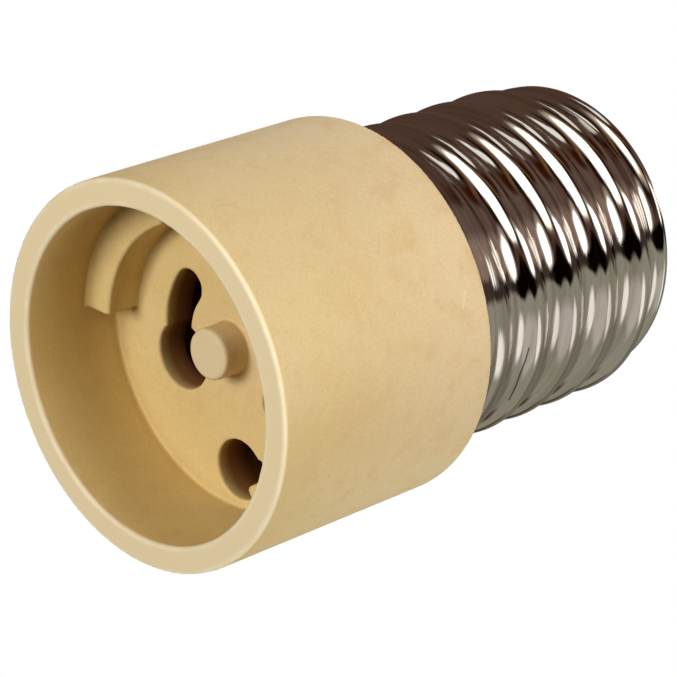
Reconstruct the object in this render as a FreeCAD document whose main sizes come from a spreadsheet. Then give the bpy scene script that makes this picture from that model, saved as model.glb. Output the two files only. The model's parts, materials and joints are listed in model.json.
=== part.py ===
import FreeCAD, Part
import Sketcher
import math
import os

# Lamp socket adapter: a ceramic cup for a two pin twist lock lamp on a large screw base.
# Millimetres. The origin is the centre of the rim, and +Z runs from the mouth to the screw end,
# so the adapter stands on its rim with the screw base on top.

DRIVING_SIZES = {
    "thread_major_radius": 19.65,
    "shoulder_width": 3.35,
    "barrel_length": 33.1,
    "rim_width": 3.3,
    "rim_outer_edge": 1.0,
    "rim_inner_edge": 0.7,
    "back_edge": 1.0,
    "cup_depth": 13.9,
    "cup_corner_edge": 0.5,
    "post_radius": 3.1,
    "post_height": 3.8,
    "post_round": 0.6,
    "key_width": 4.05,
    "key_height": 4.9,
    "key_sweep": 64.0,
    "key_one_angle": 205.4,
    "key_two_angle": 20.2,
    "floor_thickness": 4.5,
    "pin_circle_radius": 9.0,
    "entry_radius": 4.05,
    "slot_width": 4.15,
    "slot_travel": 60.0,
    "entry_angle": 180.0,
    "lock_inset": 4.63,
    "lock_hole_radius": 3.65,
    "lock_hole_angle": 108.1,
    "lock_hole_depth": 14.0,
    "lock_slot_width": 2.8,
    "lock_slot_inset": 4.8,
    "lock_slot_sweep": 12.0,
    "neck_wall": 2.45,
    "plate_seat_width": 1.3,
    "chamber_depth": 13.6,
    "neck_length": 15.0,
    "register_length": 5.0,
    "seat_clearance": 0.1,
    "thread_depth": 1.8,
    "thread_pitch": 6.35,
    "skirt_length": 4.4,
    "run_in_length": 3.5,
    "first_trough_rise": 8.85,
    "shell_length": 36.2,
    "shell_wall": 0.4,
    "taper_length": 3.8,
    "fade_length": 2.8,
    "shell_end_drop": 1.3,
    "curl_radius": 1.6,
    "curl_sweep": 80.0,
    "curl_lip": 2.0,
    "insulator_depth": 5.0,
    "insulator_clearance": 0.5,
    "contact_radius": 7.3,
    "contact_height": 1.9,
    "contact_round": 1.2,
    "contact_wall": 0.5,
    "eyelet_length": 7.0,
    "insulator_rise": 4.4,
    "plate_thickness": 3.0,
    "cement_height": 1.6,
    "cement_width": 1.2,
    "clip_strip": 0.5,
    "clip_width": 7.0,
    "clip_floor_gap": 1.6,
    "clip_bend_radius": 2.4,
    "clip_pinch": 1.75,
    "clip_outer_reach": 4.8,
    "clip_inner_reach": 3.8,
    "clip_flare": 0.75,
    "clip_leg_width": 4.0,
    "clip_foot_length": 4.6,
    "rivet_radius": 1.2,
    "rivet_head_radius": 2.0,
    "rivet_head_height": 0.7,
    "terminal_radius": 2.6,
    "terminal_thickness": 0.5,
    "ferrule_radius": 1.35,
    "ferrule_length": 4.0,
    "lead_radius": 1.0,
    "lead_bend_radius": 5.0,
    "lead_straight": 9.0,
    "shell_joint_gap": 0.3,
    "shell_joint_rise": 5.0,
    "solder_radius": 1.6,
    "solder_spread": 2.6,
    "solder_height": 0.6,
    "rivet_clearance": 0.05,
}

doc = FreeCAD.newDocument("lamp_socket_adapter")


# The sheet of driving sizes


def fill_sheet():
    sheet = doc.addObject("Spreadsheet::Sheet", "Sizes")
    for row, (name, value) in enumerate(DRIVING_SIZES.items(), start=1):
        sheet.set("A%d" % row, name)
        sheet.set("B%d" % row, str(value))
        sheet.setAlias("B%d" % row, name)
    doc.recompute()
    return sheet


sizes = fill_sheet()


def size(name):
    return float(getattr(sizes, name))


def cell(name):
    return "Sizes." + name


# Sketches on a body's own planes, and the features made from them


def body_plane(body, role):
    for feature in body.Origin.OriginFeatures:
        if feature.Role == role:
            return feature
    raise RuntimeError("no plane " + role)


def new_body(name):
    body = doc.addObject("PartDesign::Body", name)
    body.Label = name
    return body


def pin_vertex(sketch, edge, end, across, along):
    for kind, expression, axis in (("DistanceX", across, -2), ("DistanceY", along, -1)):
        if expression == "0":
            sketch.addConstraint(sketch_constraint("PointOnObject", edge, end, axis))
            continue
        index = sketch.addConstraint(sketch_constraint(kind, -1, 1, edge, end, 1.0))
        sketch.setExpression("Constraints[%d]" % index, expression)


def sketch_constraint(*values):
    return Sketcher.Constraint(*values)


def evaluate(expression):
    return float(sizes.evalExpression(expression.replace("Sizes.", "")))


def outline_sketch(body, name, corners, turn=None):
    """A closed outline in the XZ plane, each corner given as (radius, height) expressions."""
    sketch = body.newObject("Sketcher::SketchObject", name)
    sketch.AttachmentSupport = (body_plane(body, "XZ_Plane"), [""])
    sketch.MapMode = "FlatFace"
    if turn:
        sketch.AttachmentOffset = FreeCAD.Placement(
            FreeCAD.Vector(0, 0, 0), FreeCAD.Rotation(FreeCAD.Vector(0, 1, 0), 1.0)
        )
        sketch.setExpression("AttachmentOffset.Rotation.Angle", turn)
    places = [FreeCAD.Vector(evaluate(across), evaluate(along), 0) for across, along in corners]
    count = len(corners)
    for index in range(count):
        sketch.addGeometry(Part.LineSegment(places[index], places[(index + 1) % count]), False)
    for index in range(count):
        sketch.addConstraint(sketch_constraint("Coincident", index, 2, (index + 1) % count, 1))
    for index, (across, along) in enumerate(corners):
        pin_vertex(sketch, index, 1, across, along)
    return sketch


def turned(body, kind, name, sketch, angle="360"):
    feature = body.newObject("PartDesign::" + kind, name)
    feature.Profile = sketch
    feature.ReferenceAxis = (sketch, ["V_Axis"])
    feature.setExpression("Angle", angle + " * 1 deg")
    sketch.Visibility = False
    doc.recompute()
    return feature


def circle_sketch(body, name, height, circle_radius, angle, radius):
    """A circle in a plane at the given height, centred at a polar place."""
    sketch = body.newObject("Sketcher::SketchObject", name)
    sketch.AttachmentSupport = (body_plane(body, "XY_Plane"), [""])
    sketch.MapMode = "FlatFace"
    sketch.setExpression("AttachmentOffset.Base.z", height)
    turn = math.radians(evaluate(angle))
    reach = evaluate(circle_radius)
    centre = FreeCAD.Vector(reach * math.cos(turn), reach * math.sin(turn), 0)
    sketch.addGeometry(Part.Circle(centre, FreeCAD.Vector(0, 0, 1), evaluate(radius)), False)
    index = sketch.addConstraint(sketch_constraint("Radius", 0, evaluate(radius)))
    sketch.setExpression("Constraints[%d]" % index, radius)
    across = "%s * cos(%s * 1 deg)" % (circle_radius, angle)
    along = "%s * sin(%s * 1 deg)" % (circle_radius, angle)
    pin_vertex(sketch, 0, 3, across, along)
    return sketch


def pocket_down(body, name, sketch, depth):
    feature = body.newObject("PartDesign::Pocket", name)
    feature.Profile = sketch
    feature.setExpression("Length", depth)
    sketch.Visibility = False
    doc.recompute()
    return feature


def twin(body, name, features):
    """The same cuts again, half a turn round the axis."""
    pattern = body.newObject("PartDesign::PolarPattern", name)
    pattern.Originals = features
    pattern.Axis = (body_plane(body, "Z_Axis"), [""])
    pattern.Angle = 360
    pattern.Occurrences = 2
    body.Tip = pattern
    doc.recompute()
    return pattern


def eased(body, kind, name, reach, wanted):
    """A fillet or a chamfer on the edges of the body's last feature that the test picks."""
    base = body.Tip
    picked = [index for index, edge in enumerate(base.Shape.Edges, start=1) if wanted(edge)]
    if not picked:
        raise RuntimeError("no edges for " + name)
    easing = body.newObject("PartDesign::" + kind, name)
    easing.Base = (base, ["Edge%d" % index for index in picked])
    easing.setExpression("Radius" if kind == "Fillet" else "Size", reach)
    body.Tip = easing
    doc.recompute()
    return easing


def ring_edge(radius, height):
    """Picks whole circles round the axis with this radius at this height."""
    def wanted(edge):
        curve = edge.Curve
        if not isinstance(curve, Part.Circle):
            return False
        off_axis = math.hypot(curve.Center.x, curve.Center.y)
        return off_axis < 0.01 and abs(curve.Radius - radius) < 0.01 and abs(curve.Center.z - height) < 0.01
    return wanted


# Heights and radii that several pieces share, as expressions of the sheet

BARREL_RADIUS = "(%s + %s)" % (cell("thread_major_radius"), cell("shoulder_width"))
CUP_RADIUS = "(%s - %s)" % (BARREL_RADIUS, cell("rim_width"))
KEY_INNER_RADIUS = "(%s - %s)" % (CUP_RADIUS, cell("key_width"))
LOCK_CIRCLE = "(%s - %s)" % (CUP_RADIUS, cell("lock_inset"))
LOCK_SLOT_CIRCLE = "(%s - %s)" % (CUP_RADIUS, cell("lock_slot_inset"))
FLOOR_FACE = cell("cup_depth")
FLOOR_BACK = "(%s + %s)" % (cell("cup_depth"), cell("floor_thickness"))
PLATE_FACE = "(%s + %s)" % (FLOOR_BACK, cell("chamber_depth"))
PLATE_BACK = "(%s + %s)" % (PLATE_FACE, cell("plate_thickness"))
BACK_FACE = cell("barrel_length")
NECK_END = "(%s + %s)" % (BACK_FACE, cell("neck_length"))
SHELL_BORE = "(%s - %s)" % (cell("thread_major_radius"), cell("shell_wall"))
ROOT_BORE = "(%s - %s)" % (SHELL_BORE, cell("thread_depth"))
REGISTER_RADIUS = "(%s - %s)" % (SHELL_BORE, cell("seat_clearance"))
NECK_RADIUS = "(%s - %s)" % (ROOT_BORE, cell("seat_clearance"))
PLATE_SEAT_RADIUS = "(%s - %s)" % (NECK_RADIUS, cell("neck_wall"))
CHAMBER_RADIUS = "(%s - %s)" % (PLATE_SEAT_RADIUS, cell("plate_seat_width"))
REGISTER_END = "(%s + %s)" % (BACK_FACE, cell("register_length"))
POST_TOP = "(%s - %s)" % (cell("cup_depth"), cell("post_height"))
KEY_TOP = "(%s - %s)" % (cell("cup_depth"), cell("key_height"))
SHELL_END = "(%s + %s)" % (BACK_FACE, cell("shell_length"))


# Ceramic body: barrel, cup, post, keys, keyholes, contact chamber and neck


def make_ceramic_body():
    body = new_body("ceramic_body")
    profile = outline_sketch(body, "ceramic_profile", [
        (CUP_RADIUS, "0"),
        (BARREL_RADIUS, "0"),
        (BARREL_RADIUS, BACK_FACE),
        (REGISTER_RADIUS, BACK_FACE),
        (REGISTER_RADIUS, REGISTER_END),
        (NECK_RADIUS, REGISTER_END),
        (NECK_RADIUS, NECK_END),
        (PLATE_SEAT_RADIUS, NECK_END),
        (PLATE_SEAT_RADIUS, PLATE_FACE),
        (CHAMBER_RADIUS, PLATE_FACE),
        (CHAMBER_RADIUS, FLOOR_BACK),
        ("0", FLOOR_BACK),
        ("0", POST_TOP),
        (cell("post_radius"), POST_TOP),
        (cell("post_radius"), FLOOR_FACE),
        (CUP_RADIUS, FLOOR_FACE),
    ])
    turned(body, "Revolution", "ceramic_blank", profile)
    round_turned_edges(body)
    for name, angle in (("key_one", "key_one_angle"), ("key_two", "key_two_angle")):
        add_key(body, name, cell(angle))
    cut_keyholes(body)
    cut_lock_holes(body)
    return body


def round_turned_edges(body):
    rim_outer = ring_edge(evaluate(BARREL_RADIUS), 0.0)
    back_edge = ring_edge(evaluate(BARREL_RADIUS), size("barrel_length"))
    rim_inner = ring_edge(evaluate(CUP_RADIUS), 0.0)
    cup_corner = ring_edge(evaluate(CUP_RADIUS), size("cup_depth"))
    post_edge = ring_edge(size("post_radius"), evaluate(POST_TOP))
    eased(body, "Chamfer", "rim_outer_chamfer", cell("rim_outer_edge"), rim_outer)
    eased(body, "Chamfer", "back_chamfer", cell("back_edge"), back_edge)
    eased(body, "Chamfer", "rim_inner_chamfer", cell("rim_inner_edge"), rim_inner)
    eased(body, "Chamfer", "cup_corner_chamfer", cell("cup_corner_edge"), cup_corner)
    eased(body, "Fillet", "post_fillet", cell("post_round"), post_edge)


def add_key(body, name, angle):
    """A raised stretch of ring on the cup wall that keys the lamp's cap."""
    into_wall = "(%s + %s) / 2" % (CUP_RADIUS, BARREL_RADIUS)
    into_floor = "(%s + %s / 2)" % (FLOOR_FACE, cell("floor_thickness"))
    profile = outline_sketch(body, name + "_profile", [
        (KEY_INNER_RADIUS, KEY_TOP),
        (into_wall, KEY_TOP),
        (into_wall, into_floor),
        (KEY_INNER_RADIUS, into_floor),
    ], turn=angle)
    turned(body, "Revolution", name, profile, cell("key_sweep"))


def arc_slot(body, name, radius, width, height, depth, angle, sweep):
    """A slot along an arc: a ring stretch, and a round end at the far side."""
    inner = "(%s - %s / 2)" % (radius, width)
    outer = "(%s + %s / 2)" % (radius, width)
    profile = outline_sketch(body, name + "_profile", [
        (inner, height + " - " + depth),
        (outer, height + " - " + depth),
        (outer, height),
        (inner, height),
    ], turn=angle)
    groove = turned(body, "Groove", name, profile, sweep)
    far_angle = "(%s + %s)" % (angle, sweep)
    end = circle_sketch(body, name + "_end_profile", height, radius, far_angle, width + " / 2")
    return [groove, pocket_down(body, name + "_end", end, depth)]


def cut_keyholes(body):
    """Each keyhole takes a lamp pin's head, and the slot leads the pin to its clip."""
    entry = circle_sketch(body, "entry_profile", FLOOR_BACK, cell("pin_circle_radius"),
                          cell("entry_angle"), cell("entry_radius"))
    cuts = [pocket_down(body, "entry", entry, cell("floor_thickness"))]
    cuts += arc_slot(body, "pin_slot", cell("pin_circle_radius"), cell("slot_width"), FLOOR_BACK,
                     cell("floor_thickness"), cell("entry_angle"), cell("slot_travel"))
    twin(body, "keyholes", cuts)


def cut_lock_holes(body):
    bottom = "(%s + %s)" % (FLOOR_FACE, cell("lock_hole_depth"))
    hole = circle_sketch(body, "lock_hole_profile", bottom, LOCK_CIRCLE,
                         cell("lock_hole_angle"), cell("lock_hole_radius"))
    cuts = [pocket_down(body, "lock_hole", hole, cell("lock_hole_depth"))]
    slot_start = "(%s - %s)" % (cell("lock_hole_angle"), cell("lock_slot_sweep"))
    inner = "(%s - %s / 2)" % (LOCK_SLOT_CIRCLE, cell("lock_slot_width"))
    outer = "(%s + %s / 2)" % (LOCK_SLOT_CIRCLE, cell("lock_slot_width"))
    profile = outline_sketch(body, "lock_slot_profile", [
        (inner, FLOOR_FACE),
        (outer, FLOOR_FACE),
        (outer, bottom),
        (inner, bottom),
    ], turn=slot_start)
    cuts.append(turned(body, "Groove", "lock_slot", profile, cell("lock_slot_sweep")))
    end = circle_sketch(body, "lock_slot_end_profile", bottom, LOCK_SLOT_CIRCLE, slot_start,
                        cell("lock_slot_width") + " / 2")
    cuts.append(pocket_down(body, "lock_slot_end", end, cell("lock_hole_depth")))
    twin(body, "lock_holes", cuts)


# Screw shell: thin rolled sheet of even thickness, with rounded ribs at the pitch of the thread

ROWS_PER_PITCH = 4
CURL_STEPS = 4

SHELL_START = evaluate(BACK_FACE)
SHELL_TOP = evaluate(SHELL_END)
THREAD_START = SHELL_START + size("skirt_length")
FIRST_TROUGH = SHELL_START + size("first_trough_rise")
FADE_START = SHELL_TOP - size("fade_length")
THREAD_ARC = ((size("thread_pitch") / 2.0) ** 2 + size("thread_depth") ** 2) / (4.0 * size("thread_depth"))


def smooth_step(value):
    value = min(max(value, 0.0), 1.0)
    return value * value * (3.0 - 2.0 * value)


def thread_rise(along):
    """Height above the trough, at a distance along the axis from a trough: arcs that meet midway."""
    half = size("thread_pitch") / 2.0
    offset = along % (2.0 * half)
    offset = min(offset, 2.0 * half - offset)
    if offset <= half / 2.0:
        return THREAD_ARC - math.sqrt(THREAD_ARC ** 2 - offset ** 2)
    return size("thread_depth") - THREAD_ARC + math.sqrt(THREAD_ARC ** 2 - (half - offset) ** 2)


def shell_radius(height, turn):
    """Outer radius of the shell at a height and an angle round the axis, in turns."""
    run_in = smooth_step((height - THREAD_START) / size("run_in_length"))
    run_out = 1.0 - smooth_step((height - FADE_START) / size("fade_length"))
    taper = smooth_step(1.0 - (SHELL_TOP - height) / size("taper_length"))
    crest = size("thread_major_radius") - size("shell_end_drop") * taper
    trough = FIRST_TROUGH + size("thread_pitch") * turn
    groove = size("thread_depth") - thread_rise(height - trough)
    return crest - groove * run_in * run_out


def curl_points(wall_end):
    """The end of the shell's section: an arc that turns inward from the wall's end, then a straight lip."""
    curl = size("curl_radius")
    sweep = math.radians(size("curl_sweep"))
    points = []
    for step in range(1, CURL_STEPS + 1):
        bend = sweep * step / CURL_STEPS
        points.append((SHELL_TOP + curl * math.sin(bend), wall_end - curl * (1 - math.cos(bend))))
    last_height, last_radius = points[-1]
    for share in (0.5, 1.0):
        reach = size("curl_lip") * share
        points.append((last_height + reach * math.cos(sweep), last_radius - reach * math.sin(sweep)))
    return points


def shell_section(turn):
    """Points of the outer face as (height, radius), from the barrel to the lip."""
    rows = int(round((SHELL_TOP - SHELL_START) / (size("thread_pitch") / ROWS_PER_PITCH)))
    heights = [SHELL_START + (SHELL_TOP - SHELL_START) * row / rows for row in range(rows + 1)]
    points = [(height, shell_radius(height, turn)) for height in heights]
    return points + curl_points(points[-1][1])


def offset_inward(points, distance):
    """The section moved inward along its normals, which keeps the sheet's thickness even."""
    moved = []
    last = len(points) - 1
    for index, (height, radius) in enumerate(points):
        before = points[max(index - 1, 0)]
        after = points[min(index + 1, last)]
        run = after[0] - before[0]
        rise = after[1] - before[1]
        length = math.hypot(run, rise)
        if index == 0:
            run, rise, length = 1.0, 0.0, 1.0
        moved.append((height + distance * rise / length, radius - distance * run / length))
    return moved


def make_screw_shell():
    outer = shell_section(0.0)
    inner = offset_inward(outer, size("shell_wall"))
    corners = [FreeCAD.Vector(radius, 0, height) for height, radius in outer + inner[::-1]]
    section = Part.Face(Part.makePolygon(corners + corners[:1]))
    shell = doc.addObject("Part::Feature", "screw_shell")
    shell.Label = "screw_shell"
    shell.Shape = section.revolve(FreeCAD.Vector(0, 0, 0), FreeCAD.Vector(0, 0, 1), 360)
    return shell


# Screw end: insulator, centre contact and its solder

LIP_RADIUS = "(%s - %s - %s * (1 - cos(%s * 1 deg)) - %s * sin(%s * 1 deg))" % (
    cell("thread_major_radius"), cell("shell_end_drop"), cell("curl_radius"),
    cell("curl_sweep"), cell("curl_lip"), cell("curl_sweep"))
LIP_HEIGHT = "(%s + %s * sin(%s * 1 deg) + %s * cos(%s * 1 deg))" % (
    SHELL_END, cell("curl_radius"), cell("curl_sweep"), cell("curl_lip"), cell("curl_sweep"))
INSULATOR_RADIUS = "(%s - %s)" % (ROOT_BORE, cell("insulator_clearance"))
INSULATOR_BOTTOM = "(%s - %s)" % (SHELL_END, cell("insulator_depth"))
INSULATOR_NECK = "(%s - 2 * %s)" % (LIP_RADIUS, cell("seat_clearance"))
INSULATOR_TOP = "(%s + %s)" % (LIP_HEIGHT, cell("insulator_rise"))
CONTACT_TOP = "(%s + %s)" % (INSULATOR_TOP, cell("contact_height"))
EYELET_BORE = "(%s + %s)" % (cell("lead_radius"), cell("seat_clearance"))
EYELET_RADIUS = "(%s + %s)" % (EYELET_BORE, cell("contact_wall"))
EYELET_END = "(%s - %s)" % (INSULATOR_TOP, cell("eyelet_length"))


def make_end_insulator():
    body = new_body("end_insulator")
    hole = "(%s + %s)" % (EYELET_RADIUS, cell("seat_clearance"))
    under_lip = "(%s + %s / 2)" % (SHELL_END, cell("curl_radius"))
    profile = outline_sketch(body, "insulator_profile", [
        (hole, INSULATOR_BOTTOM),
        (INSULATOR_RADIUS, INSULATOR_BOTTOM),
        (INSULATOR_RADIUS, SHELL_END + " - " + cell("seat_clearance")),
        (INSULATOR_NECK, under_lip),
        (INSULATOR_NECK, LIP_HEIGHT),
        (cell("contact_radius"), INSULATOR_TOP),
        (hole, INSULATOR_TOP),
    ])
    turned(body, "Revolution", "insulator_blank", profile)
    return body


def make_centre_contact():
    body = new_body("centre_contact")
    profile = outline_sketch(body, "contact_profile", [
        (EYELET_BORE, EYELET_END),
        (EYELET_RADIUS, EYELET_END),
        (EYELET_RADIUS, INSULATOR_TOP),
        (cell("contact_radius"), INSULATOR_TOP),
        (cell("contact_radius"), CONTACT_TOP + " - " + cell("contact_round")),
        (cell("contact_radius") + " - " + cell("contact_round"), CONTACT_TOP),
        (EYELET_BORE, CONTACT_TOP),
    ])
    turned(body, "Revolution", "contact_blank", profile)
    return body


def make_centre_solder():
    """A low dome of solder that closes the eyelet over the lead."""
    spread = size("solder_spread")
    height = size("solder_height")
    ball = (spread ** 2 + height ** 2) / (2.0 * height)
    top = evaluate(CONTACT_TOP)
    centre = FreeCAD.Vector(0, 0, top + height - ball)
    cap = Part.makeSphere(ball, centre).common(Part.makeCylinder(spread, height, FreeCAD.Vector(0, 0, top)))
    solder = doc.addObject("Part::Feature", "centre_solder")
    solder.Label = "centre_solder"
    solder.Shape = cap
    return solder


# Contact plate behind the floor, and the cement that holds it


def make_contact_plate():
    body = new_body("contact_plate")
    radius = "(%s - %s)" % (PLATE_SEAT_RADIUS, cell("seat_clearance"))
    profile = outline_sketch(body, "plate_profile", [
        ("0", PLATE_FACE),
        (radius, PLATE_FACE),
        (radius, PLATE_BACK),
        ("0", PLATE_BACK),
    ])
    turned(body, "Revolution", "plate_blank", profile)
    hole = circle_sketch(body, "rivet_hole_profile", PLATE_BACK, RIVET_CIRCLE, RIVET_ANGLE,
                         "(%s + %s)" % (cell("rivet_radius"), cell("rivet_clearance")))
    twin(body, "rivet_holes", [pocket_down(body, "rivet_hole", hole, cell("plate_thickness"))])
    return body


def make_plate_cement():
    body = new_body("plate_cement")
    seat = PLATE_SEAT_RADIUS
    profile = outline_sketch(body, "cement_profile", [
        (seat, PLATE_BACK),
        (seat, "(%s + %s)" % (PLATE_BACK, cell("cement_height"))),
        ("(%s - %s)" % (seat, cell("cement_width")), PLATE_BACK),
    ])
    turned(body, "Revolution", "cement_bead", profile)
    return body


# Pin clips: each is one bent strip that grips a lamp pin at the end of its slot

SLOT_END_ANGLE = "(%s + %s)" % (cell("entry_angle"), cell("slot_travel"))
LEG_OFFSET = "(%s + %s / 2)" % (cell("clip_bend_radius"), cell("clip_strip"))
RIVET_OFFSET = "(%s + %s / 2)" % (LEG_OFFSET, cell("clip_foot_length"))
RIVET_CIRCLE = "sqrt(%s ^ 2 + %s ^ 2)" % (cell("pin_circle_radius"), RIVET_OFFSET)
RIVET_ANGLE = "(%s + atan(%s / %s) / 1 deg)" % (SLOT_END_ANGLE, RIVET_OFFSET, cell("pin_circle_radius"))


def clip_jaws():
    """The strip on edge: two leaves that pinch the pin, joined by a bend behind it."""
    middle = size("pin_circle_radius")
    bend = size("clip_bend_radius")
    pinch = size("clip_pinch")
    flare = size("clip_flare")
    outer_reach = size("clip_outer_reach")
    inner_reach = size("clip_inner_reach")
    low = evaluate(FLOOR_BACK) + size("clip_floor_gap")
    flare_length = flare + size("clip_strip")

    def at(across, along):
        return FreeCAD.Vector(middle + across, along, low)

    outer = [at(pinch + flare, -outer_reach), at(pinch, flare_length - outer_reach), at(bend, 0)]
    inner = [at(-bend, 0), at(-pinch, flare_length - inner_reach), at(-pinch - flare, -inner_reach)]
    edges = [Part.LineSegment(outer[0], outer[1]).toShape(), Part.LineSegment(outer[1], outer[2]).toShape()]
    edges.append(Part.Arc(outer[2], at(0, bend), inner[0]).toShape())
    edges += [Part.LineSegment(inner[0], inner[1]).toShape(), Part.LineSegment(inner[1], inner[2]).toShape()]
    band = Part.Wire(edges).makeOffset2D(size("clip_strip") / 2.0)
    return Part.Face(band).extrude(FreeCAD.Vector(0, 0, size("clip_width")))


def clip_leg_and_foot():
    middle = size("pin_circle_radius")
    strip = size("clip_strip")
    half = size("clip_leg_width") / 2.0
    near = size("clip_bend_radius") - strip / 2.0
    low = evaluate(FLOOR_BACK) + size("clip_floor_gap")
    plate = evaluate(PLATE_FACE)
    leg = Part.makeBox(2 * half, strip, plate - low, FreeCAD.Vector(middle - half, near, low))
    foot_length = size("clip_foot_length") + strip
    foot = Part.makeBox(2 * half, foot_length, strip, FreeCAD.Vector(middle - half, near, plate - strip))
    hole_place = FreeCAD.Vector(middle, evaluate(RIVET_OFFSET), plate - strip)
    hole = Part.makeCylinder(size("rivet_radius") + size("rivet_clearance"), strip, hole_place)
    return leg.fuse(foot).cut(hole)


def make_pin_clip(name, half_turns):
    clip = doc.addObject("Part::Feature", name)
    clip.Label = name
    clip.Shape = clip_jaws().fuse(clip_leg_and_foot()).removeSplitter()
    clip.Placement = turned_place(SLOT_END_ANGLE, half_turns)
    return clip


def turned_place(angle, half_turns):
    turn = evaluate(angle) + 180.0 * half_turns
    return FreeCAD.Placement(FreeCAD.Vector(0, 0, 0), FreeCAD.Rotation(FreeCAD.Vector(0, 0, 1), turn))


# Rivets, terminals and leads

RIVET_FRONT = "(%s - %s)" % (PLATE_FACE, cell("clip_strip"))
RIVET_REAR = "(%s + %s)" % (PLATE_BACK, cell("terminal_thickness"))


def make_clip_rivets():
    """Two rivets, each through a clip's foot, the plate and a terminal."""
    shapes = []
    head_height = size("rivet_head_height")
    front = evaluate(RIVET_FRONT)
    rear = evaluate(RIVET_REAR)
    for half_turns in (0, 1):
        turn = math.radians(evaluate(RIVET_ANGLE) + 180.0 * half_turns)
        across = evaluate(RIVET_CIRCLE) * math.cos(turn)
        along = evaluate(RIVET_CIRCLE) * math.sin(turn)
        shank = Part.makeCylinder(size("rivet_radius"), rear - front, FreeCAD.Vector(across, along, front))
        front_head = FreeCAD.Vector(across, along, front - head_height)
        rear_head = FreeCAD.Vector(across, along, rear)
        for place in (front_head, rear_head):
            shank = shank.fuse(Part.makeCylinder(size("rivet_head_radius"), head_height, place))
        shapes.append(shank.removeSplitter())
    rivets = doc.addObject("Part::Feature", "clip_rivets")
    rivets.Label = "clip_rivets"
    rivets.Shape = Part.makeCompound(shapes)
    return rivets


def barrel_offset():
    """How far a terminal's barrel stands from its rivet, toward the axis."""
    return size("terminal_radius") + size("ferrule_radius")


def make_terminal(name, half_turns):
    """A ring under the rivet's head, with an upright barrel crimped on the lead."""
    low = evaluate(PLATE_BACK)
    thickness = size("terminal_thickness")
    middle = size("pin_circle_radius")
    rivet_place = FreeCAD.Vector(middle, evaluate(RIVET_OFFSET), low)
    barrel_place = FreeCAD.Vector(middle - barrel_offset(), evaluate(RIVET_OFFSET), low)
    ring = Part.makeCylinder(size("terminal_radius"), thickness, rivet_place)
    hole = Part.makeCylinder(size("rivet_radius") + size("rivet_clearance"), thickness, rivet_place)
    tab_width = 2 * size("ferrule_radius")
    tab_place = barrel_place - FreeCAD.Vector(0, tab_width / 2, 0)
    tab = Part.makeBox(barrel_offset(), tab_width, thickness, tab_place)
    base = Part.makeCylinder(size("ferrule_radius"), thickness, barrel_place)
    ferrule = Part.makeCylinder(size("ferrule_radius"), size("ferrule_length"), barrel_place)
    above_base = barrel_place + FreeCAD.Vector(0, 0, thickness)
    bore = Part.makeCylinder(size("lead_radius"), size("ferrule_length"), above_base)
    terminal = doc.addObject("Part::Feature", name)
    terminal.Label = name
    terminal.Shape = ring.fuse([tab, base]).cut(hole).fuse(ferrule.cut(bore)).removeSplitter()
    terminal.Placement = turned_place(SLOT_END_ANGLE, half_turns)
    return terminal


def barrel_reach():
    """How far a terminal's barrel stands from the axis."""
    return math.hypot(size("pin_circle_radius") - barrel_offset(), evaluate(RIVET_OFFSET))


def barrel_angle():
    """The barrel's angle from the slot's end, in degrees."""
    across = size("pin_circle_radius") - barrel_offset()
    return math.degrees(math.atan2(evaluate(RIVET_OFFSET), across))


def bent_wire(points, radius):
    """Straight runs joined by tangent arcs of one radius."""
    edges = []
    start = points[0]
    for index in range(1, len(points) - 1):
        corner = points[index]
        back = (points[index - 1] - corner).normalize()
        ahead = (points[index + 1] - corner).normalize()
        half_angle = back.getAngle(ahead) / 2.0
        reach = radius / math.tan(half_angle)
        bisector = (back + ahead).normalize()
        arc_start = corner + back * reach
        arc_end = corner + ahead * reach
        arc_middle = corner + bisector * (radius / math.sin(half_angle) - radius)
        edges.append(Part.LineSegment(start, arc_start).toShape())
        edges.append(Part.Arc(arc_start, arc_middle, arc_end).toShape())
        start = arc_end
    edges.append(Part.LineSegment(start, points[-1]).toShape())
    return Part.Wire(edges)


def make_lead(name, stations, half_turns):
    """A lead in one plane through the axis, its stations given as (radius, height)."""
    points = [FreeCAD.Vector(radius, 0, height) for radius, height in stations]
    path = bent_wire(points, size("lead_bend_radius"))
    ring = Part.Wire(Part.Circle(points[0], FreeCAD.Vector(0, 0, 1), size("lead_radius")).toShape())
    lead = doc.addObject("Part::Feature", name)
    lead.Label = name
    lead.Shape = path.makePipeShell([ring], True, False)
    turn = evaluate(SLOT_END_ANGLE) + barrel_angle() + 180.0 * half_turns
    lead.Placement = FreeCAD.Placement(FreeCAD.Vector(0, 0, 0), FreeCAD.Rotation(FreeCAD.Vector(0, 0, 1), turn))
    return lead


def lead_start():
    return barrel_reach(), evaluate(PLATE_BACK) + size("terminal_thickness")


def make_shell_lead():
    """Runs from the first terminal to the shell's wall, past the end of the neck."""
    radius, low = lead_start()
    end_radius = evaluate(ROOT_BORE) - size("lead_radius") - size("shell_joint_gap")
    end_height = evaluate(NECK_END) + size("shell_joint_rise")
    bend_height = low + size("lead_straight")
    return make_lead("shell_lead", [(radius, low), (radius, bend_height), (end_radius, end_height)], 0)


def make_centre_lead():
    """Runs from the second terminal to the axis and up through the eyelet."""
    radius, low = lead_start()
    bend_height = low + size("lead_straight")
    axis_height = evaluate(INSULATOR_BOTTOM) - size("lead_bend_radius")
    top = evaluate(CONTACT_TOP)
    return make_lead("centre_lead", [(radius, low), (radius, bend_height), (0, axis_height), (0, top)], 1)


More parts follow.
